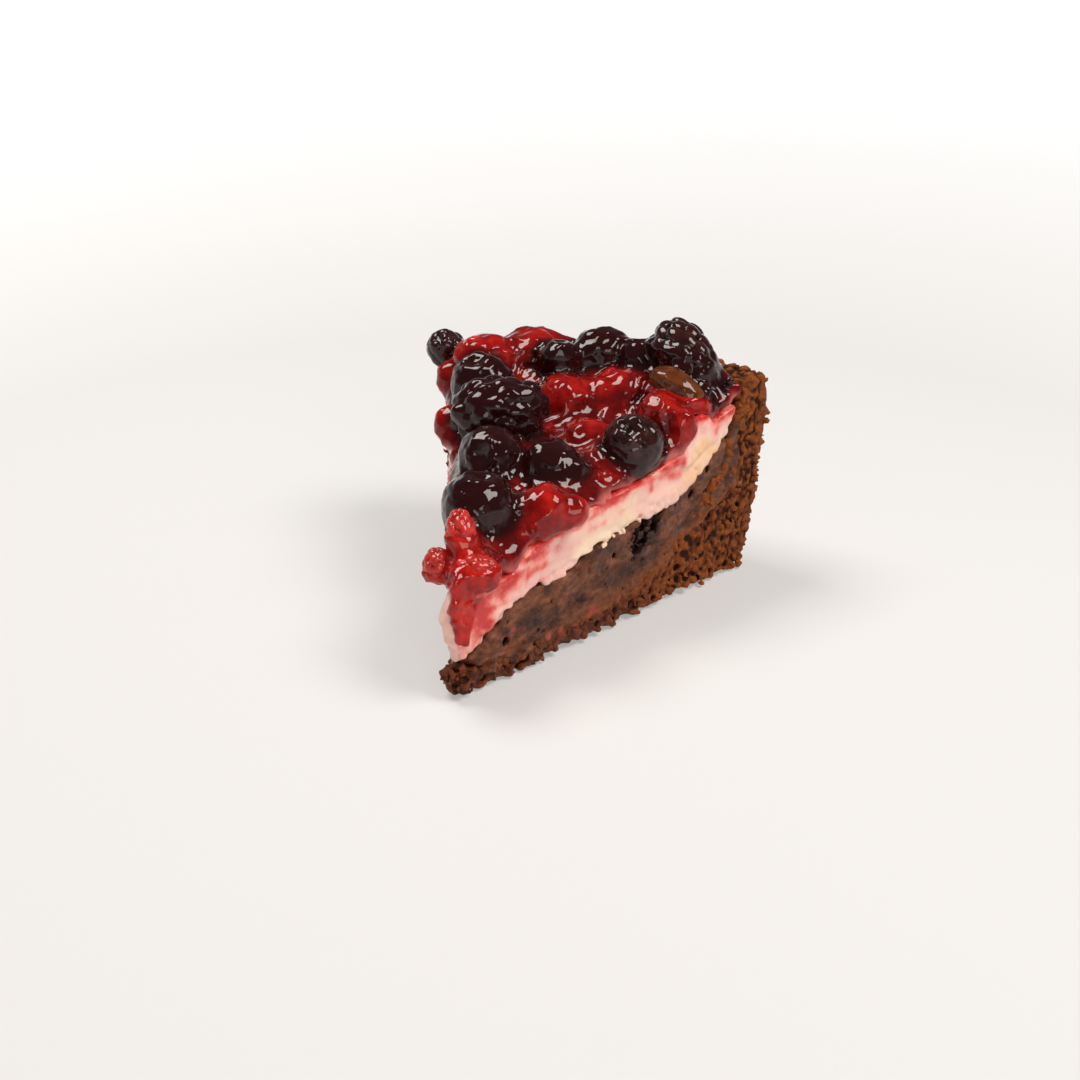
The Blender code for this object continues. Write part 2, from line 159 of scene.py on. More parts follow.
class Block:
    """A box of evenly spaced points that holds a distance field, in millimetres."""

    def __init__(self, low, high, step):
        self.step = step
        self.first = np.floor(np.array(low) / step).astype(int)
        self.size = np.ceil(np.array(high) / step).astype(int) - self.first + 1
        self.axes = [(self.first[k] + np.arange(self.size[k], dtype=np.float32)) * step for k in range(3)]

    def grids(self):
        return np.meshgrid(*self.axes, indexing="ij", sparse=True)

    def of_nodes(self, names):
        """Distance to the union of some CAD solids, negative inside."""
        whole = None
        for name in names:
            points, triangles = cad_mesh(name)
            scaled = openvdb.createLinearTransform(voxelSize=self.step)
            level = openvdb.FloatGrid.createLevelSetFromPolygons(
                points, triangles=triangles, transform=scaled, halfWidth=BAND / self.step)
            field = np.empty(self.size, np.float32)
            level.copyToArray(field, ijk=tuple(int(i) for i in self.first))
            whole = field if whole is None else np.minimum(whole, field)
        return whole

    def noise(self, wave, seed, stretch=(1.0, 1.0, 1.0)):
        """Soft random relief between about -1 and 1 whose swells are this many millimetres long."""
        spacing = [wave * stretch[k] * 0.5 for k in range(3)]
        counts = [int(self.size[k] * self.step / spacing[k]) + 5 for k in range(3)]
        field = np.random.default_rng(seed).normal(0.0, 1.0, counts).astype(np.float32)
        for k in range(3):
            along = (self.axes[k] - self.axes[k][0]) / spacing[k] + 1.5
            field = np.moveaxis(np.tensordot(spline_weights(along, counts[k]), field, axes=(1, k)), 0, k)
        return field * 1.9

    def at(self, field, points):
        """The field's values at points, by straight-line interpolation."""
        spot = points / self.step - self.first
        spot = np.clip(spot, 0, self.size - 1.001)
        low = spot.astype(int)
        part = (spot - low).astype(np.float32)
        total = np.zeros(len(points), np.float32)
        for i in (0, 1):
            for j in (0, 1):
                for k in (0, 1):
                    weight = (np.where(i, part[:, 0], 1 - part[:, 0])
                              * np.where(j, part[:, 1], 1 - part[:, 1])
                              * np.where(k, part[:, 2], 1 - part[:, 2]))
                    total += weight * field[low[:, 0] + i, low[:, 1] + j, low[:, 2] + k]
        return total

    def cube(self, centre, pad):
        """The part of the block within some distance of a point, and its offsets from there."""
        low = np.maximum(((centre - pad) / self.step).astype(int) - self.first, 0)
        high = np.minimum(((centre + pad) / self.step).astype(int) - self.first + 2, self.size)
        part = tuple(slice(a, b) for a, b in zip(low, np.maximum(high, low)))
        return part, np.meshgrid(*[self.axes[k][part[k]] - np.float32(centre[k]) for k in range(3)],
                                 indexing="ij", sparse=True)

    def stamp(self, field, centre, radius, reach, carve=False):
        """Adds a ball to the field, or carves it out, with a soft join."""
        part, gaps = self.cube(np.asarray(centre, float), radius + 2.5 * reach + self.step)
        if not field[part].size:
            return
        ball = (np.sqrt(gaps[0] ** 2 + gaps[1] ** 2 + gaps[2] ** 2) - radius).astype(np.float32)
        if carve:
            field[part] = -blend(-field[part], ball, reach)
        else:
            field[part] = blend(field[part], ball, reach)

    def mesh(self, name, field, ease_off):
        """The surface of a field as a smooth-shaded object; ease_off lets flat places have fewer faces."""
        edge = np.float32(BAND)
        grid = openvdb.FloatGrid(edge)
        padded = np.full(self.size + 2, edge, np.float32)
        padded[1:-1, 1:-1, 1:-1] = np.clip(field, -BAND, BAND)
        grid.copyFromArray(padded, ijk=tuple(int(i) - 1 for i in self.first))
        grid.transform = openvdb.createLinearTransform(voxelSize=self.step)
        points, triangles, quads = grid.convertToPolygons(isovalue=0.0, adaptivity=ease_off)
        folded = np.concatenate([triangles, triangles[:, :1]], 1)
        corners = np.concatenate([quads.astype(int), folded.astype(int)])
        points, corners = largest_body(points, corners[:, ::-1])
        faces = [face if face[0] != face[3] else face[1:] for face in corners.tolist()]
        return make_object(name, points, faces)


def largest_body(points, faces):
    """Leaves out loose bits: the points and faces of the biggest joined surface."""
    label = np.arange(len(points))
    while True:
        lowest = label.copy()
        np.minimum.at(lowest, faces.ravel(), np.repeat(label[faces].min(1), faces.shape[1]))
        lowest = lowest[lowest]
        if (lowest == label).all():
            break
        label = lowest
    kept = label == np.bincount(label).argmax()
    number = np.cumsum(kept) - 1
    return points[kept], number[faces[kept[faces[:, 0]]]]


def spline_weights(along, count):
    """Weights of a smooth curve through evenly spaced random values."""
    cell = np.floor(along).astype(int)
    part = along - cell
    weights = np.zeros((len(along), count), np.float32)
    rows = np.arange(len(along))
    basis = [(1 - part) ** 3 / 6, (3 * part ** 3 - 6 * part ** 2 + 4) / 6,
             (-3 * part ** 3 + 3 * part ** 2 + 3 * part + 1) / 6, part ** 3 / 6]
    for k in range(4):
        weights[rows, np.clip(cell - 1 + k, 0, count - 1)] += basis[k]
    return weights


def blurred(field, sigma):
    """The field softened over some voxels."""
    reach = int(math.ceil(2.5 * sigma))
    weights = np.exp(-0.5 * (np.arange(-reach, reach + 1) / sigma) ** 2)
    weights /= weights.sum()
    for k in range(3):
        moved = np.moveaxis(field, k, 0)
        padded = np.concatenate([np.repeat(moved[:1], reach, 0), moved, np.repeat(moved[-1:], reach, 0)])
        total = np.zeros_like(moved)
        for i, weight in enumerate(weights):
            total += np.float32(weight) * padded[i:i + len(moved)]
        field = np.moveaxis(total, 0, k)
    return field


def cad_mesh(name):
    """A CAD node's points in millimetres and its triangles."""
    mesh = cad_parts[name].data
    points = np.empty(len(mesh.vertices) * 3, np.float32)
    mesh.vertices.foreach_get("co", points)
    mesh.calc_loop_triangles()
    triangles = np.empty(len(mesh.loop_triangles) * 3, np.int32)
    mesh.loop_triangles.foreach_get("vertices", triangles)
    return points.reshape(-1, 3) / np.float32(MM), triangles.reshape(-1, 3).astype(np.uint32)


def make_object(name, points, faces):
    """A smooth-shaded mesh object from points in millimetres."""
    mesh = bpy.data.meshes.new(name)
    mesh.from_pydata((np.asarray(points, float) * MM).tolist(), [], faces)
    mesh.polygons.foreach_set("use_smooth", [True] * len(mesh.polygons))
    mesh.update()
    thing = bpy.data.objects.new(name, mesh)
    bpy.context.scene.collection.objects.link(thing)
    return thing


def points_of(thing):
    points = np.empty(len(thing.data.vertices) * 3, np.float32)
    thing.data.vertices.foreach_get("co", points)
    return points.reshape(-1, 3) / np.float32(MM)


def set_mask(thing, name, values):
    """Stores one number for each vertex, for the materials to read."""
    layer = thing.data.attributes.new(name, "FLOAT", "POINT")
    layer.data.foreach_set("value", np.clip(values, 0.0, 1.0).astype(np.float32))


def settle(thing, node, material):
    thing.data.materials.append(material)
    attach(thing, "root")
    if node:
        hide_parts(node)


def polar(points):
    """Distance from the tip and share of the turn, -1 at the left cut and 1 at the right."""
    across = points[:, 0] - TIP[0]
    along = points[:, 1] - TIP[1]
    return np.hypot(across, along), np.arctan2(across, along) / HALF_TURN


def node_block(name, step, room=2.0):
    low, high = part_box(name)
    return Block(np.array(low) / MM - room, np.array(high) / MM + room, step)


# materials


def new_material(name, roughness=0.5, specular=0.5):
    material = bpy.data.materials.new(name)
    material.use_nodes = True
    tree = material.node_tree
    shader = tree.nodes["Principled BSDF"]
    shader.inputs["Roughness"].default_value = roughness
    shader.inputs["Specular IOR Level"].default_value = specular
    return material, tree, shader


def noise_node(tree, scale, detail=4.0, rough=0.55, along=1.0):
    """A noise texture over the object's own coordinates; scale is swells per millimetre.

    Where along is below 1, the swells are longer along the slice.
    """
    place = tree.nodes.new("ShaderNodeTexCoord")
    drawn = tree.nodes.new("ShaderNodeVectorMath")
    drawn.operation = "MULTIPLY"
    drawn.inputs[1].default_value = (1.0, along, 1.0)
    tree.links.new(place.outputs["Object"], drawn.inputs[0])
    texture = tree.nodes.new("ShaderNodeTexNoise")
    texture.inputs["Scale"].default_value = scale / MM
    texture.inputs["Detail"].default_value = detail
    texture.inputs["Roughness"].default_value = rough
    tree.links.new(drawn.outputs["Vector"], texture.inputs["Vector"])
    return texture.outputs["Fac"]


def mask_node(tree, name):
    reader = tree.nodes.new("ShaderNodeAttribute")
    reader.attribute_name = name
    return reader.outputs["Fac"]


def ramp_node(tree, value, stops):
    """Colours by value: stops are (place, linear colour)."""
    ramp = tree.nodes.new("ShaderNodeValToRGB")
    for extra in range(len(stops) - 2):
        ramp.color_ramp.elements.new(0.5)
    for element, (spot, colour) in zip(ramp.color_ramp.elements, stops):
        element.position = spot
        element.color = (*colour, 1.0)
    tree.links.new(value, ramp.inputs["Fac"])
    return ramp.outputs["Color"]


def mix_node(tree, share, first, second, kind="MIX"):
    mix = tree.nodes.new("ShaderNodeMix")
    mix.data_type = "RGBA"
    mix.blend_type = kind
    for socket, value in ((mix.inputs[0], share), (mix.inputs[6], first), (mix.inputs[7], second)):
        if hasattr(value, "links"):
            tree.links.new(value, socket)
        elif isinstance(value, tuple):
            socket.default_value = (*value, 1.0)
        else:
            socket.default_value = value
    return mix.outputs[2]


def math_node(tree, kind, first, second=0.0, clamp=False):
    node = tree.nodes.new("ShaderNodeMath")
    node.operation = kind
    node.use_clamp = clamp
    for socket, value in ((node.inputs[0], first), (node.inputs[1], second)):
        if hasattr(value, "links"):
            tree.links.new(value, socket)
        else:
            socket.default_value = value
    return node.outputs[0]


def add_bump(tree, shader, height, depth, strength=1.0):
    """Fine relief; depth is in millimetres."""
    bump = tree.nodes.new("ShaderNodeBump")
    bump.inputs["Strength"].default_value = strength
    bump.inputs["Distance"].default_value = depth * MM
    tree.links.new(height, bump.inputs["Height"])
    tree.links.new(bump.outputs["Normal"], shader.inputs["Normal"])


def crust_material():
    material, tree, shader = new_material("cocoa_crumb", 0.85, 0.15)
    fine = noise_node(tree, 1.0, 5.0, 0.65)
    broad = noise_node(tree, 0.10, 3.0)
    brown = ramp_node(tree, fine, [(0.30, (0.105, 0.026, 0.006)), (0.52, (0.185, 0.048, 0.011)),
                                   (0.72, (0.290, 0.088, 0.022))])
    dark = mix_node(tree, math_node(tree, "MULTIPLY", broad, 0.5), brown, (0.115, 0.031, 0.010))
    blots = noise_node(tree, 0.5, 4.0, 0.6)
    syrup = ramp_node(tree, blots, [(0.36, (0.035, 0.009, 0.004)), (0.62, (0.135, 0.030, 0.010))])
    wet = mix_node(tree, mask_node(tree, "moist"), dark, syrup)
    proud = mask_node(tree, "proud")
    # Painted shade and light: darker in hollows and over the rim's top, lighter on proud crumbs.
    hollow_shade_and_ridge_light = ramp_node(tree, proud, [(0.18, (0.16, 0.13, 0.12)), (0.48, (0.82, 0.80, 0.80)),
                                    (0.85, (1.35, 1.35, 1.3))])
    tree.links.new(mix_node(tree, 1.0, wet, hollow_shade_and_ridge_light, "MULTIPLY"), shader.inputs["Base Color"])
    shine = math_node(tree, "MULTIPLY", mask_node(tree, "moist"), noise_node(tree, 0.30, 3.0))
    tree.links.new(math_node(tree, "SUBTRACT", 0.85, math_node(tree, "MULTIPLY", shine, 1.3)),
                   shader.inputs["Roughness"])
    add_bump(tree, shader, noise_node(tree, 1.5, 4.0, 0.65), 0.45, 0.9)
    return material


def filling_material():
    material, tree, shader = new_material("chocolate", 0.5, 0.25)
    fine = noise_node(tree, 0.50, 5.0, 0.62, 0.30)
    broad = noise_node(tree, 0.10, 4.0, 0.6, 0.6)
    brown = ramp_node(tree, fine, [(0.34, (0.040, 0.012, 0.005)), (0.50, (0.106, 0.033, 0.013)),
                                   (0.66, (0.190, 0.068, 0.033))])
    wet = ramp_node(tree, broad, [(0.38, (0.40, 0.31, 0.27)), (0.50, (0.92, 0.90, 0.88)),
                                  (0.62, (1.20, 1.12, 1.06))])
    smeared = mix_node(tree, 1.0, brown, wet, "MULTIPLY")
    grit = noise_node(tree, 1.0, 5.0, 0.65)
    baked = ramp_node(tree, grit, [(0.34, (0.085, 0.022, 0.006)), (0.66, (0.215, 0.062, 0.017))])
    crumb = mix_node(tree, mask_node(tree, "crumbly"), smeared, baked)
    # Near-black where the syrup mask is set: syrup at the filling's foot, and painted shade in the big
    # hollow.
    crumb = mix_node(tree, mask_node(tree, "syrup"), crumb, (0.026, 0.010, 0.007))
    crumb = mix_node(tree, mask_node(tree, "red_bits"), crumb, (0.300, 0.050, 0.040))
    proud = mask_node(tree, "proud")
    # Painted shade in the pits and painted light on the proud bits.
    pits = ramp_node(tree, proud, [(0.05, (0.10, 0.08, 0.07)), (0.42, (1.0, 1.0, 1.0)),
                                   (0.85, (1.2, 1.15, 1.1))])
    tree.links.new(mix_node(tree, 1.0, crumb, pits, "MULTIPLY"), shader.inputs["Base Color"])
    patches = noise_node(tree, 0.16, 4.0, 0.6)
    gloss = ramp_node(tree, patches, [(0.40, (0.62, 0.62, 0.62)), (0.58, (0.24, 0.24, 0.24))])
    gloss = mix_node(tree, mask_node(tree, "syrup"), gloss, (0.10, 0.10, 0.10))
    gloss = mix_node(tree, mask_node(tree, "crumbly"), gloss, (0.70, 0.70, 0.70))
    tree.links.new(gloss, shader.inputs["Roughness"])
    add_bump(tree, shader, noise_node(tree, 0.9, 5.0, 0.6, 0.6), 0.45, 0.9)
    return material


def cream_material():
    material, tree, shader = new_material("cream", 0.40, 0.4)
    soft = noise_node(tree, 0.12, 4.0, 0.6)
    ivory = ramp_node(tree, soft, [(0.30, (0.78, 0.50, 0.33)), (0.50, (0.84, 0.60, 0.42)),
                                   (0.72, (0.86, 0.68, 0.52))])
    rosy = mix_node(tree, mask_node(tree, "blush"), ivory, (0.81, 0.48, 0.41))
    warm = mix_node(tree, mask_node(tree, "ochre"), rosy, (0.78, 0.43, 0.20))
    cloud = math_node(tree, "SUBTRACT", noise_node(tree, 0.22, 6.0, 0.65), 0.5)
    clouded = math_node(tree, "MULTIPLY", cloud, 1.1)
    stain = math_node(tree, "ADD", mask_node(tree, "stain"), clouded, True)
    share = ramp_node(tree, stain, [(0.05, (0.0, 0.0, 0.0)), (0.55, (0.85, 0.85, 0.85)),
                                    (0.75, (1.0, 1.0, 1.0))])
    pink = ramp_node(tree, stain, [(0.20, (0.84, 0.50, 0.43)), (0.52, (0.80, 0.35, 0.30)),
                                   (0.76, (0.74, 0.15, 0.12)), (0.98, (0.52, 0.018, 0.014))])
    tree.links.new(mix_node(tree, share, warm, pink), shader.inputs["Base Color"])
    shader.inputs["Subsurface Weight"].default_value = 0.15
    shader.inputs["Subsurface Radius"].default_value = (1.0, 0.45, 0.3)
    shader.inputs["Subsurface Scale"].default_value = 1.2 * MM
    shader.inputs["Coat Weight"].default_value = 0.25
    shader.inputs["Coat Roughness"].default_value = 0.12
    add_bump(tree, shader, noise_node(tree, 0.7, 4.0), 0.20, 0.7)
    return material


def jelly_material():
    material, tree, shader = new_material("jelly", 0.06, 0.32)
    cloud = noise_node(tree, 0.20, 4.0, 0.6)
    deep = ramp_node(tree, cloud, [(0.30, (0.045, 0.0015, 0.002)), (0.52, (0.130, 0.004, 0.004)),
                                   (0.70, (0.260, 0.008, 0.006))])
    light = ramp_node(tree, cloud, [(0.30, (0.160, 0.003, 0.003)), (0.50, (0.350, 0.007, 0.005)),
                                    (0.70, (0.530, 0.018, 0.010))])
    red = mix_node(tree, mask_node(tree, "bright"), deep, light)
    pale = mix_node(tree, mask_node(tree, "thin"), red, (0.60, 0.14, 0.12))
    dark = mix_node(tree, mask_node(tree, "dark"), pale, (0.019, 0.0030, 0.0030))
    tree.links.new(dark, shader.inputs["Base Color"])
    add_bump(tree, shader, noise_node(tree, 0.28, 1.0), 0.60, 0.7)
    return material


def berry_material(name, deep, light, hollow):
    """Glazed skin: deep and light are its two colours, and hollow is painted shade, multiplied into the
    creases between beads; it also darkens a blueberry's crown.
    """
    material, tree, shader = new_material(name, 0.10, 0.34)
    cloud = noise_node(tree, 0.35, 4.0, 0.6)
    skin = ramp_node(tree, cloud, [(0.30, deep), (0.70, light)])
    # Painted shade in the creases, by how proud the skin is.
    crease_shade = ramp_node(tree, mask_node(tree, "proud"), [(0.0, hollow), (0.6, (1.0, 1.0, 1.0))])
    tree.links.new(mix_node(tree, 1.0, skin, crease_shade, "MULTIPLY"), shader.inputs["Base Color"])
    add_bump(tree, shader, noise_node(tree, 0.4, 1.5), 0.45, 0.6)
    return material


# pieces


def cut_spot(out, side, height, inward=0.0):
    """A point on a cut face: out from the tip, side -1 left or 1 right, some way into the cake."""
    angle = HALF_TURN * side
    across = side * inward
    return TIP + np.array((out * math.sin(angle) - across * math.cos(angle),
                           out * math.cos(angle) + across * math.sin(angle), height))


def either_side(rng, right_share=0.5):
    """1 for the right cut or -1 for the left one."""
    return 1 if rng.random() < right_share else -1


def round_grids(block):
    """Over a block: distance from the tip, share of the turn, way in from the nearest cut, and height."""
    across, along, height = block.grids()
    out = np.hypot(across - TIP[0], along - TIP[1])
    turn = np.arctan2(across - TIP[0], along - TIP[1]) / HALF_TURN
    return out, turn, out * HALF_TURN * (1.0 - np.abs(turn)), height


def crumble_cuts(block, field, rng):
    """Crumbs and pits on both cuts of the crust, most of them low down."""
    for crumb in range(420):
        side = either_side(rng)
        out_here = rng.uniform(5.0, 112.0)
        low = rng.random() < 0.62
        top = 3.2 if low else max(4.0, 0.55 * (out_here - 62.0))
        spot = cut_spot(out_here, side, rng.uniform(0.2, top), rng.uniform(-0.7, 1.0))
        block.stamp(field, spot, rng.uniform(0.5, 1.2), 0.5, carve=rng.random() < 0.5)


def crumble_wall(block, field, rng):
    """Crumbs and pits on the crust's outer wall."""
    for crumb in range(260):
        angle = HALF_TURN * rng.uniform(-1.0, 1.0)
        reach = WALL_OUT + rng.uniform(-0.4, 0.4)
        spot = TIP + np.array((reach * math.sin(angle), reach * math.cos(angle), rng.uniform(0.5, 53.5)))
        block.stamp(field, spot, rng.uniform(0.4, 0.8), 0.5, carve=rng.random() < 0.4)


def hollow_foot(block, field, rng):
    """Hollows along the foot of both cuts."""
    for hollow in range(60):
        side = either_side(rng, 0.6)
        spot = cut_spot(rng.uniform(28.0, 100.0), side, rng.uniform(-0.8, 0.5), rng.uniform(-0.5, 0.6))
        block.stamp(field, spot, rng.uniform(0.9, 1.9), 0.6, carve=True)


def crumble_tip(block, field, rng):
    """The crust's tip: worn back by balls one over another, then covered with lumps and pits."""
    for high, radius in ((1.4, 0.9), (3.0, 1.2), (4.6, 1.4), (6.2, 1.4), (7.8, 1.2)):
        for behind in (-0.8, 0.6, 1.8):
            spot = TIP + np.array((-0.2 - 0.4 * behind, behind, high))
            block.stamp(field, spot, radius, 0.35, carve=True)
    for lump in range(150):
        spot = TIP + np.array((rng.uniform(-3.2, 3.2), rng.uniform(-0.2, 6.0), rng.uniform(0.4, 7.6)))
        if abs(spot[0]) < 0.45 * (spot[1] - TIP[1]) + 1.4:
            block.stamp(field, spot, rng.uniform(0.35, 0.85), 0.25, carve=rng.random() < 0.45)


def mask_crust(thing, block, field):
    """Where the crust is proud of its own softened surface, which paints shade into its hollows and over
    the rim's top and light onto its proud crumbs, and where it is moist.
    """
    spots = points_of(thing)
    out, turn = polar(spots)
    height = spots[:, 2]
    soft = blurred(field, 1.0 / CAKE_STEP)
    # Less proud over the rim's top: painted shade there, where more light falls.
    set_mask(thing, "proud", 0.5 + 1.6 * block.at(soft, spots) - 0.30 * ease((height - 50.0) / 3.0))
    set_mask(thing, "moist", ease((84.0 - out) / 34.0) * ease((16.0 - height) / 7.0))


def make_crust(material):
    block = node_block("crust", CAKE_STEP)
    field = blurred(block.of_nodes(["crust"]), 0.9 / CAKE_STEP)
    out, turn, inside, height = round_grids(block)
    curls = (1.3 * np.minimum(np.abs(block.noise(2.8, 11)), np.abs(block.noise(2.8, 14)))
             + 0.4 * np.abs(block.noise(1.5, 12)) - 0.58)
    swell = block.noise(8.0, 13)
    shown = np.maximum(np.maximum(ease((7.0 - inside) / 3.0), ease((out - 107.0) / 3.0)),
                       np.maximum(ease((height - 44.0) / 3.0), ease((16.0 - out) / 4.0)))
    rough = shown * (0.75 + 0.15 * ease((out - 55.0) / 30.0))
    field = blurred(field, 1.4 / CAKE_STEP) * (1.0 - shown) + field * shown
    field = field - rough * curls - 0.28 * shown * swell
    field = field - 0.20
    rng = np.random.default_rng(5)
    crumble_cuts(block, field, rng)
    crumble_wall(block, field, rng)
    hollow_foot(block, field, rng)
    crumble_tip(block, field, rng)
    field = np.maximum(field, UNDERSIDE - height)
    thing = block.mesh("crust_crumb", field, ease_off=0.35)
    mask_crust(thing, block, field)
    settle(thing, "crust", material)


def pit_filling(block, field, rng):
    """Small pits and crumbs on both cuts of the filling."""
    for pit in range(150):
        side = either_side(rng)
        out_here = rng.uniform(8.0, 103.0)
        high = 5.0 + rng.random() * 18.0 + 0.16 * max(0.0, out_here - 40.0)
        spot = cut_spot(out_here, side, high, rng.uniform(-0.3, 0.4))
        block.stamp(field, spot, rng.uniform(0.25, 0.7), 0.3, carve=rng.random() < 0.7)


def hollow_filling(block, field, rng):
    """Holes in the right cut, with lumps and pits in the largest one."""
    for out_here, high, radius in FILLING_HOLES:
        for inward in (-0.6, 0.6, 1.8):
            spot = cut_spot(out_here, 1, high + rng.uniform(-0.4, 0.4), inward)
            block.stamp(field, spot, radius * rng.uniform(0.8, 1.0), 0.4, carve=True)
    for lump in range(170):
        out_here = rng.uniform(HOLLOW_OUT - 9.0, HOLLOW_OUT + 8.0)
        high = rng.uniform(-4.5, 4.5) + HOLLOW_HEIGHT + HOLLOW_SLOPE * (out_here - HOLLOW_OUT)
        spot = cut_spot(out_here, 1, high, rng.uniform(-0.2, 2.6))
        block.stamp(field, spot, rng.uniform(0.35, 0.85), 0.25, carve=rng.random() < 0.55)


def add_red_bits(block, field):
    """Bits of red berry low in both cuts; returns the distance to them."""
    bits = np.full(block.size, BAND, np.float32)
    for out_here, high, radius in RED_BITS:
        for side in (-1, 1):
            block.stamp(field, cut_spot(out_here, side, high, 0.4), radius * 0.8, 0.4)
            block.stamp(bits, cut_spot(out_here, side, high, 0.2), radius * 1.15, 0.3)
    return bits


def mask_filling(thing, block, field, grain, swell, bits):
    """Where the filling is proud, for painted shade in its pits; crumbly; wet with syrup at its foot and
    painted dark as shade in the big hollow; or red.
    """
    spots = points_of(thing)
    out, turn = polar(spots)
    height = spots[:, 2]
    wave = block.at(swell, spots)
    small = block.at(grain, spots)
    foot = np.interp(out, *FILLING_FOOT)
    soft = blurred(field, 1.5 / CAKE_STEP)
    set_mask(thing, "proud", 0.5 + 1.2 * block.at(soft, spots))
    crumbly = ease((foot + 6.0 + 2.6 * wave - height) / 6.5) * ease((out - 14.0) / 30.0)
    set_mask(thing, "crumbly", crumbly)
    above = height - HOLLOW_HEIGHT - HOLLOW_SLOPE * (out - HOLLOW_OUT)
    # The big hollow's part of the syrup mask is painted shade in the hollow.
    hollow = np.exp(-((out - HOLLOW_OUT) / 6.5) ** 2 - (above / 5.0) ** 2) * (turn > 0)
    seep = ease((foot + 4.6 + 1.2 * wave - height) / 2.5) * ease((50.0 - out) / 30.0) * ease(0.3 + small)
    set_mask(thing, "syrup", ease((hollow - 0.22 + 0.16 * small) / 0.40) + seep)
    set_mask(thing, "red_bits", ease((0.5 - block.at(bits, spots)) / 0.8) * (0.75 + 0.3 * small))


def make_filling(material):
    low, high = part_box("chocolate_filling")
    block = Block((low[0] / MM - 2, low[1] / MM - 4, 1.0), np.array(high) / MM + 2, CAKE_STEP)
    field = blurred(block.of_nodes(["chocolate_filling"]), 0.8 / CAKE_STEP) - 0.32
    out, turn, inside, height = round_grids(block)
    grain = block.noise(2.4, 21)
    swell = block.noise(9.0, 22, (1.0, 1.0, 0.6))
    curls = np.abs(block.noise(2.2, 23)) - 0.4
    foot = np.interp(out, *FILLING_FOOT)
    crumbly = ease((foot + 7.0 + 2.0 * swell - height) / 7.0) * ease((out - 20.0) / 30.0)
    field = field - 0.16 * grain - 0.26 * swell - 0.45 * crumbly * curls
    field = field + 0.9 * np.maximum(np.abs(block.noise(6.0, 24)) * 0.5 + 0.5 * grain - 0.62, 0.0)
    floor = blurred(block.of_nodes(["crust"]), 0.8 / CAKE_STEP) - 0.25
    ragged = 1.6 * swell * ease((out - 40.0) / 30.0)
    floor = floor + 4.0 * ease((foot + 0.8 * grain + ragged - height) / 1.8)
    floor = floor + 4.0 * ease((out - 108.0) / 4.0)
    field = blend(field, floor + 1.5 * ease((12.0 - out) / 5.0), 1.2)
    rng = np.random.default_rng(6)
    pit_filling(block, field, rng)
    hollow_filling(block, field, rng)
    bits = add_red_bits(block, field)
    thing = block.mesh("filling_cut", field, ease_off=0.04)
    mask_filling(thing, block, field, grain, swell, bits)
    settle(thing, "chocolate_filling", material)


def crumble_cream(block, field, rng):
    """Specks and pits along the cream's foot on both cuts."""
    for crumb in range(70):
        out_here = rng.uniform(50.0, 64.0) if rng.random() < 0.5 else rng.uniform(34.0, 92.0)
        side = either_side(rng, 0.6)
        high = np.interp(out_here, *CREAM_FOOT) + rng.uniform(-1.2, 1.0)
        spot = cut_spot(out_here, side, high, rng.uniform(-0.1, 0.6))
        block.stamp(field, spot, rng.uniform(0.35, 0.8), 0.3, carve=rng.random() < 0.3)


def smear_cream(block, field, rng):
    """Cream drawn up over the jelly on the right cut, and its hanging lower edge there."""
    for smear in range(210):
        out_here = rng.uniform(84.0, 97.5)
        rise = rng.uniform(-3.5, np.interp(out_here, *CREAM_PEAK))
        high = np.interp(out_here, *CREAM_TOP) + rise - 0.8
        spot = cut_spot(out_here, 1, high, rng.uniform(0.0, 0.7))
        block.stamp(field, spot, rng.uniform(0.9, 1.3), 0.9)
    for smear in range(110):
        out_here = rng.uniform(77.0, 99.0)
        high = np.interp(out_here, *CREAM_HANG) + rng.uniform(0.9, 4.0)
        spot = cut_spot(out_here, 1, high, rng.uniform(0.1, 0.6))
        block.stamp(field, spot, rng.uniform(0.8, 1.15), 0.8)


def mask_cream(thing, block):
    """Where the cream is stained by the jelly above it, rosy, or ochre."""
    spots = points_of(thing)
    out, turn = polar(spots)
    height = spots[:, 2]
    wave = block.at(block.noise(7.0, 33), spots)
    small = block.at(block.noise(2.6, 34), spots)
    streak = block.at(block.noise(5.0, 36, (1.6, 1.6, 0.5)), spots)
    below = np.interp(out, *CREAM_TOP) - height
    below = below + np.where(turn > 0, np.interp(out, *CREAM_PEAK), 0.0)
    stain = 0.94 - 0.15 * ease((52.0 - out) / 10.0) * ease((out - 13.0) / 5.0)
    stain = stain + 0.24 * ease((15.0 - out) / 6.0) * ease((height - 17.0) / 8.0)
    stain = stain - np.maximum(below, 0.0) / np.interp(out, *STAIN_REACH) * 0.85
    stain = stain + 0.15 * wave + 0.10 * small + 0.22 * streak
    stain = np.where(turn < 0, stain + 0.08, stain)
    flap = ease((10.0 - out) / 4.0) * ease(-turn / 0.3)
    set_mask(thing, "stain", stain * (1 - 0.80 * flap))
    lower = ease((below - 4.0) / 3.0) * ease((out - 84.0) / 6.0)
    near_tip = ease((51.0 - out + 5.0 * wave) / 8.0)
    near_rim = ease((out - 59.0 + 6.0 * wave) / 8.0) * (0.85 - 0.7 * lower)
    set_mask(thing, "blush", near_tip + near_rim)
    ochre = np.exp(-((out - 93) / 8.0) ** 2) * ease((below - 5.0) / 4.0)
    set_mask(thing, "ochre", ochre * (0.8 + 0.4 * wave))


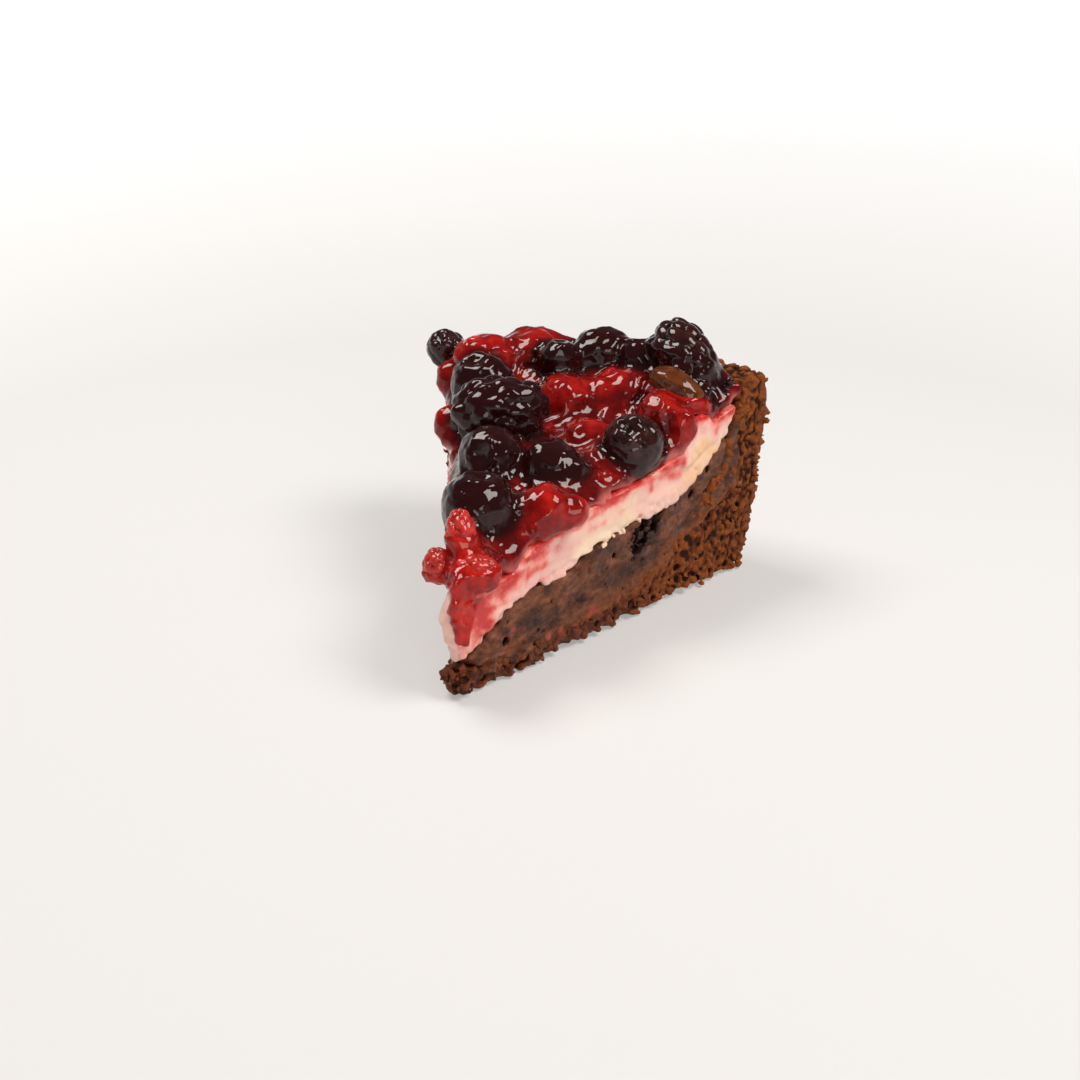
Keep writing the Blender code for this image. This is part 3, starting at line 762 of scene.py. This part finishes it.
def make_cream(material):
    block = node_block("cream_layer", CAKE_STEP, 3.5)
    field = blurred(block.of_nodes(["cream_layer"]), 0.8 / CAKE_STEP) - 0.42
    out, turn, inside, height = round_grids(block)
    foot = np.interp(out, *CREAM_FOOT)
    ragged = ease((foot + 4.0 - height) / 4.0) * ease((4.0 - inside) / 3.0)
    smear = block.noise(3.4, 31, (2.2, 2.2, 0.6))
    swell = block.noise(8.0, 32)
    field = field - 0.16 * smear - 0.34 * swell - 0.50 * ragged * block.noise(2.2, 35)
    field = field - 0.55 * ease((height - np.interp(out, *CREAM_TOP) + 2.5) / 2.5)
    rng = np.random.default_rng(7)
    crumble_cream(block, field, rng)
    smear_cream(block, field, rng)
    thing = block.mesh("cream_cut", field, ease_off=0.01)
    mask_cream(thing, block)
    settle(thing, "cream_layer", material)


def berry_centre(name):
    low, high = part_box(name)
    return (np.array(low) + np.array(high)) / (2 * MM)


def berry_turn(name):
    """The rotation that lays a berry's length along its own direction."""
    axis = Vector(BERRIES[name][3])
    return np.array(Vector((0, 0, 1)).rotation_difference(axis).to_matrix())


def berry_field(block, name, seed):
    """Distance to a berry's lumpy skin, in the cube of points around it."""
    kind, half_length, half_width, axis, film = BERRIES[name]
    part, gaps = block.cube(berry_centre(name), max(half_length, half_width) + 5.0)
    turned = berry_turn(name)
    halves = (half_width, half_width, half_length)
    local = np.stack([(gaps[0] * turned[0, k] + gaps[1] * turned[1, k] + gaps[2] * turned[2, k]) / halves[k]
                      for k in range(3)], -1)
    share = np.maximum(np.linalg.norm(local, axis=-1), 1e-4)
    reach = np.ones(share.shape)
    close = np.abs(share - 1.0) < 0.3
    reach[close], proud = berry_reach(name, local[close] / share[close][:, None], seed)
    return part, ((share - reach) * min(half_length, half_width)).astype(np.float32)


def film_berries(block, field, height):
    """Lays the jelly over each berry; returns where it is dark, bright, and near a berry."""
    dark = np.zeros(block.size, np.float32)
    bright = np.zeros(block.size, np.float32)
    near = np.zeros(block.size, np.float32)
    for number, name in enumerate(BERRIES):
        kind, half_length, half_width, axis, film = BERRIES[name]
        part, skin = berry_field(block, name, number + 1)
        middle = berry_centre(name)[2]
        tall = max(half_length * abs(axis[2]), half_width * 0.8)
        bare = ease((height[:, :, part[2]] - middle - tall * (2.2 * film - 0.9)) / (0.5 * tall))
        cover = 0.35 if kind == "blueberry" and film == 1.0 else 0.16
        is_dark = berry_slot(name) == "dark_berry"
        join = 2.6 if is_dark else 4.0
        field[part] = blend(field[part], skin - cover - max(0.0, film - 1.0) + 1.6 * bare, join)
        near[part] = np.maximum(near[part], ease((3.2 - skin) / 2.4))
        if is_dark:
            far = 2.6 if film < 0.5 else 5.2
            dark[part] = np.maximum(dark[part], ease((far - skin) / (far - 0.8)))
        else:
            bright[part] = np.maximum(bright[part], ease((2.4 - skin) / 3.0))
    return dark, bright, near


def ring_berry(block, field, name):
    """A raised ring of jelly round a berry that stands out of it."""
    centre = berry_centre(name)
    around = BERRIES[name][2] + 1.9
    heights = np.arange(centre[2] + 7.0, centre[2] - 9.0, -0.3)
    for angle in np.linspace(0.0, 2.0 * math.pi, 48, endpoint=False):
        column = np.stack([np.full(len(heights), centre[0] + around * math.cos(angle)),
                           np.full(len(heights), centre[1] + around * math.sin(angle)), heights], 1)
        covered = block.at(field, column) < 0.0
        if covered.any():
            block.stamp(field, column[np.argmax(covered)], 0.75, 0.9)


def run_at_tip(block, field, rng):
    """The red run down the right cut at the tip, gaps where cream shows, and a few drips on the left."""
    for drip in range(210):
        high = 14.5 + 17.0 * rng.random() ** 0.6
        start = np.interp(high, RUN_HEIGHTS, RUN_START)
        wide = np.interp(high, RUN_HEIGHTS, RUN_WIDTH)
        spot = cut_spot(start + wide * rng.random() ** 1.2, 1, high, rng.uniform(0.0, 0.6))
        block.stamp(field, spot, rng.uniform(0.4, 1.0), 0.7)
    for gap in range(34):
        spot = cut_spot(rng.uniform(3.0, 13.0), 1, rng.uniform(17.0, 29.0), rng.uniform(-1.0, -0.5))
        block.stamp(field, spot, rng.uniform(0.6, 1.3), 0.4, carve=True)
    for drip in range(24):
        spot = cut_spot(rng.uniform(0.0, 3.0), -1, rng.uniform(20.0, 30.0), rng.uniform(0.0, 0.5))
        block.stamp(field, spot, rng.uniform(0.5, 0.9), 0.7)


def bead_rim(block, field, rng):
    """Dark beads between the topping and the rim on the right cut; returns the distance to them."""
    spill = np.full(block.size, BAND, np.float32)
    for bead in range(60):
        spot = cut_spot(rng.uniform(95.0, 106.0), 1, rng.uniform(47.5, 55.5), rng.uniform(0.8, 7.0))
        block.stamp(field, spot, rng.uniform(0.6, 1.2), 0.4)
        block.stamp(spill, spot, 1.2, 0.6)
    return spill


def drip_over_cream(block, field, rng):
    """Small drips along the top of the cream on the right cut."""
    for drip in range(34):
        spot = cut_spot(rng.uniform(5.0, 60.0), 1, 0.0, rng.uniform(0.0, 0.8))
        out_here = np.hypot(spot[0] - TIP[0], spot[1] - TIP[1])
        spot[2] = np.interp(out_here, *CREAM_TOP) + rng.uniform(-1.8, 1.2)
        block.stamp(field, spot, rng.uniform(0.4, 1.0), 0.7)


def wrinkle_jelly(block, field, near, out, height):
    """The jelly with its swells, webs and folds, and fine specks at the tip."""
    webs = (np.maximum(0.22 - np.abs(block.noise(8.0, 45)), 0.0)
            + np.maximum(0.16 - np.abs(block.noise(5.0, 46)), 0.0))
    folds = np.maximum(0.30 - np.abs(block.noise(4.2, 48, (1.6, 1.0, 0.8))), 0.0)
    field = field - (0.15 - 0.10 * near) * block.noise(3.6, 41) - 0.26 * block.noise(9.0, 42)
    field = field - 0.5 * folds * near * ease((74.0 - out) / 8.0)
    specks = 0.24 * block.noise(1.9, 47) * ease((15.0 - out) / 6.0) * ease((34.0 - height) / 4.0)
    return blurred(field - 3.2 * webs * (1.0 - 0.52 * near), 0.40 / JELLY_STEP) - specks


def mask_jelly(thing, block, dark, bright, spill):
    """Where the jelly is dark, bright, or so thin that the cream shows through."""
    spots = points_of(thing)
    out, turn = polar(spots)
    wave = block.at(block.noise(5.0, 43), spots)
    shade = block.at(dark, spots)
    set_mask(thing, "dark", shade * 1.2 + 0.15 * wave + ease((1.6 - block.at(spill, spots)) / 1.6))
    set_mask(thing, "bright", block.at(bright, spots) + 0.15 * wave + ease((16.0 - out) / 8.0))
    above = spots[:, 2] - np.interp(out, *CREAM_TOP)
    edge = ease((np.abs(turn) - 0.90) / 0.10) * ease((out - 12.0) / 10.0)
    thin = edge * ease((3.4 + 1.2 * wave - above) / 3.4) * (1.0 - 0.8 * ease(shade))
    set_mask(thing, "thin", thin)


def make_jelly(material):
    low = np.array(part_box("berry_jelly")[0]) / MM - 3.0
    low[2] = 11.0
    block = Block(low, np.array(CAD_HIGH) / MM + 1.0, JELLY_STEP)
    field = blurred(block.of_nodes(["berry_jelly"]), 1.3 / JELLY_STEP) - 0.50
    out, turn, inside, height = round_grids(block)
    above = height - np.interp(out, *CREAM_TOP)
    ragged = block.noise(4.5, 44)
    field = field - 0.8 * ease((inside - 3.0) / 5.0)
    field = field + (0.40 + 0.45 * ragged) * ease((3.0 - above) / 3.0)
    peak = np.interp(out, *CREAM_PEAK) * (turn > 0)
    smeared = ease((peak - above + 0.6 * ragged) / 1.2)
    field = field + 1.3 * smeared * ease((3.5 - inside) / 1.5) * (peak > 0.3)
    dark, bright, near = film_berries(block, field, height)
    ring_berry(block, field, "blueberry_right")
    rng = np.random.default_rng(8)
    run_at_tip(block, field, rng)
    spill = bead_rim(block, field, rng)
    drip_over_cream(block, field, rng)
    field = wrinkle_jelly(block, field, near, out, height)
    thing = block.mesh("jelly_glaze", field, ease_off=0.004)
    mask_jelly(thing, block, dark, bright, spill)
    settle(thing, "berry_jelly", material)


def sphere_grid(around, along):
    """Directions over a ball and the faces between them."""
    tilt = np.linspace(0, math.pi, along + 1)[1:-1]
    spin = np.arange(around) * 2 * math.pi / around
    tilts, spins = np.meshgrid(tilt, spin, indexing="ij")
    rings = np.stack([np.sin(tilts) * np.cos(spins), np.sin(tilts) * np.sin(spins), np.cos(tilts)], -1)
    points = np.concatenate([[(0, 0, 1)], rings.reshape(-1, 3), [(0, 0, -1)]])
    faces = []
    rows = along - 1
    for i in range(around):
        after = (i + 1) % around
        faces.append([0, 1 + i, 1 + after])
        faces.append([len(points) - 1, 1 + (rows - 1) * around + after, 1 + (rows - 1) * around + i])
        for j in range(rows - 1):
            a, b = 1 + j * around, 1 + (j + 1) * around
            faces.append([a + i, b + i, b + after, a + after])
    return points, faces


def drupelets(directions, count, seed):
    """Rounded beads with creases between: the height, 0 to 1, and the number of the nearest bead."""
    rng = np.random.default_rng(seed)
    turn = math.pi * (3.0 - math.sqrt(5.0))
    index = np.arange(count) + 0.5
    z = 1.0 - 2.0 * index / count
    flat = np.sqrt(1 - z * z)
    beads = np.stack([flat * np.cos(turn * index), flat * np.sin(turn * index), z], -1)
    beads += rng.normal(0, 0.35 / math.sqrt(count), beads.shape)
    beads /= np.linalg.norm(beads, axis=1)[:, None]
    near = np.clip(directions @ beads.T, -1, 1)
    away = np.arccos(near.max(1))
    reach = 2.1 / math.sqrt(count)
    return np.sqrt(np.clip(1 - (away / reach) ** 2 * 0.92, 0.0, 1)), np.argmax(near, 1)


def value_noise(directions, scale, seed):
    """Soft relief over a ball from a few random waves, between about -1 and 1."""
    rng = np.random.default_rng(seed)
    total = np.zeros(len(directions))
    for wave in range(9):
        aim = rng.normal(size=3)
        aim *= scale * rng.uniform(0.6, 1.5) / np.linalg.norm(aim)
        total += np.sin(directions @ aim + rng.uniform(0, 6.28))
    return total / 4.0


def bead_depth(kind, film):
    """How deep the creases between a berry's beads are; a thick film fills them."""
    if film > 1.0:
        return 0.06
    if film == 0.0:
        return 0.10
    return 0.17 if kind == "bramble" or film < 0.85 else 0.08


def berry_reach(name, directions, seed):
    """How far a berry's skin lies out in each direction, against its oval, and how proud it is there."""
    kind, half_length, half_width, axis, film = BERRIES[name]
    tilt = np.arccos(np.clip(directions[:, 2], -1, 1))
    spin = np.arctan2(directions[:, 1], directions[:, 0])
    reach = 1.0 + 0.018 * value_noise(directions, 3.0, seed)
    proud = np.ones(len(directions))
    if kind in ("bramble", "raspberry"):
        size = half_length * half_width
        count = int(np.clip(26 + size * (0.24 if kind == "bramble" else 0.55), 26, 60))
        bead, which = drupelets(directions, count, seed)
        swell = np.random.default_rng(seed + 50).uniform(-0.04, 0.05, count)[which]
        deep = bead_depth(kind, film)
        reach += -0.5 * deep + deep * bead + swell * bead
        proud = bead
    if film == 0.0:
        reach += 0.07 * value_noise(directions, 6.0, seed + 5)
    if name == "amber_berry":
        wrinkles = 0.05 * value_noise(directions, 5.0, seed + 3)
        reach += 0.07 + wrinkles + 0.02 * value_noise(directions, 11.0, seed + 4)
    if kind == "blueberry":
        lobes = 0.5 + 0.5 * np.cos(5 * spin + seed)
        ring = np.exp(-((tilt - 0.42 - 0.06 * lobes) / 0.10) ** 2)
        reach += ring * (0.03 + 0.055 * lobes) - 0.16 * ease((0.36 - tilt) / 0.26)
        reach += 0.017 * value_noise(directions, 21.0, seed + 9) * ease((1.6 - tilt) / 0.6)
        proud = 1.0 - 0.8 * ease((0.33 - tilt) / 0.2)
    return reach, proud


def berry_slot(name):
    if name == "amber_berry":
        return "amber_skin"
    return "dark_berry" if name.startswith(("blueberry", "bramble")) else "red_berry"


def make_berry(name, material, seed):
    kind, half_length, half_width, axis, film = BERRIES[name]
    around, along = (48, 30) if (film >= 1.0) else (96, 64)
    directions, faces = sphere_grid(around, along)
    reach, proud = berry_reach(name, directions, seed)
    shape = directions * reach[:, None] * np.array((half_width, half_width, half_length))
    thing = make_object(name + "_skin", shape @ berry_turn(name).T + berry_centre(name), faces)
    # How proud the skin is, for the painted shade in its creases.
    set_mask(thing, "proud", proud)
    settle(thing, name, material)
    return thing


def make_floor():
    """A pale floor that glows, as painted light: dimly near the slice, which lifts its shadows, and more
    far from it, so that it ends in white.
    """
    bpy.ops.mesh.primitive_plane_add(size=8.0, location=(0.0, 0.0, -0.0004))
    floor = bpy.context.object
    floor.name = "floor"
    material, tree, shader = new_material("floor_white", 0.6, 0.2)
    shader.inputs["Base Color"].default_value = (0.44, 0.444, 0.45, 1.0)
    place = tree.nodes.new("ShaderNodeTexCoord")
    far = tree.nodes.new("ShaderNodeVectorMath")
    far.operation = "LENGTH"
    tree.links.new(place.outputs["Object"], far.inputs[0])
    # Painted light: the floor's glow rises from dim near the slice to white far away.
    glow = ramp_node(tree, math_node(tree, "MULTIPLY", far.outputs["Value"], 0.5),
                     [(0.12, (0.310, 0.300, 0.288)), (0.40, (0.82, 0.82, 0.82)), (0.8, (1.0, 1.0, 1.0))])
    tree.links.new(glow, shader.inputs["Emission Color"])
    shader.inputs["Emission Strength"].default_value = 1.0
    floor.data.materials.append(material)


def area_light(name, place, size, power):
    data = bpy.data.lights.new(name, "AREA")
    data.shape = "RECTANGLE"
    data.size, data.size_y = size
    data.energy = power
    data.color = (1.0, 0.945, 0.885)
    lamp = bpy.data.objects.new(name, data)
    bpy.context.scene.collection.objects.link(lamp)
    lamp.location = place
    lamp.rotation_euler = (Vector(LAMP_TARGET) - Vector(place)).to_track_quat("-Z", "Y").to_euler()


def make_lights():
    """White all round near the horizon, dim overhead and in front, with soft lamps above."""
    world = bpy.data.worlds.new("studio")
    bpy.context.scene.world = world
    world.use_nodes = True
    tree = world.node_tree
    place = tree.nodes.new("ShaderNodeTexCoord")
    parts = tree.nodes.new("ShaderNodeSeparateXYZ")
    tree.links.new(place.outputs["Generated"], parts.inputs[0])
    sky = ramp_node(tree, parts.outputs[2], [(height, (light, light, light)) for height, light in SKY])
    tree.links.new(sky, tree.nodes["Background"].inputs["Color"])
    tree.nodes["Background"].inputs["Strength"].default_value = 1.0
    for name, spot, size, power in LAMPS:
        area_light(name, spot, size, power)


def make_camera():
    """The photo's own viewpoint: read from the straight edges in it and the slice's size."""
    data = bpy.data.cameras.new("camera")
    data.sensor_width = 36.0
    data.lens = data.sensor_width * FOCAL_LENGTH / PHOTO_WIDTH
    data.clip_start = 0.01
    camera = bpy.data.objects.new("camera", data)
    bpy.context.scene.collection.objects.link(camera)
    camera.location = CAMERA_PLACE
    level = math.cos(CAMERA_DIP)
    aim = Vector((-math.sin(CAMERA_TURN) * level, math.cos(CAMERA_TURN) * level, -math.sin(CAMERA_DIP)))
    camera.rotation_euler = aim.to_track_quat("-Z", "Y").to_euler()
    bpy.context.scene.camera = camera


def main():
    make_crust(crust_material())
    make_filling(filling_material())
    make_cream(cream_material())
    make_jelly(jelly_material())
    # Each berry material's last colour is the painted shade in its creases.
    dark = berry_material("dark_berry", (0.007, 0.003, 0.003), (0.044, 0.010, 0.008), (0.25, 0.20, 0.20))
    red = berry_material("red_berry", (0.260, 0.006, 0.005), (0.600, 0.045, 0.034), (0.62, 0.35, 0.30))
    amber = berry_material("amber_skin", (0.042, 0.008, 0.003), (0.150, 0.040, 0.010), (0.40, 0.30, 0.30))
    skins = {"amber_skin": amber, "dark_berry": dark, "red_berry": red}
    for number, name in enumerate(BERRIES):
        make_berry(name, skins[berry_slot(name)], number + 1)
    make_floor()
    make_lights()
    make_camera()
    bpy.context.scene.view_settings.view_transform = "Standard"


main()
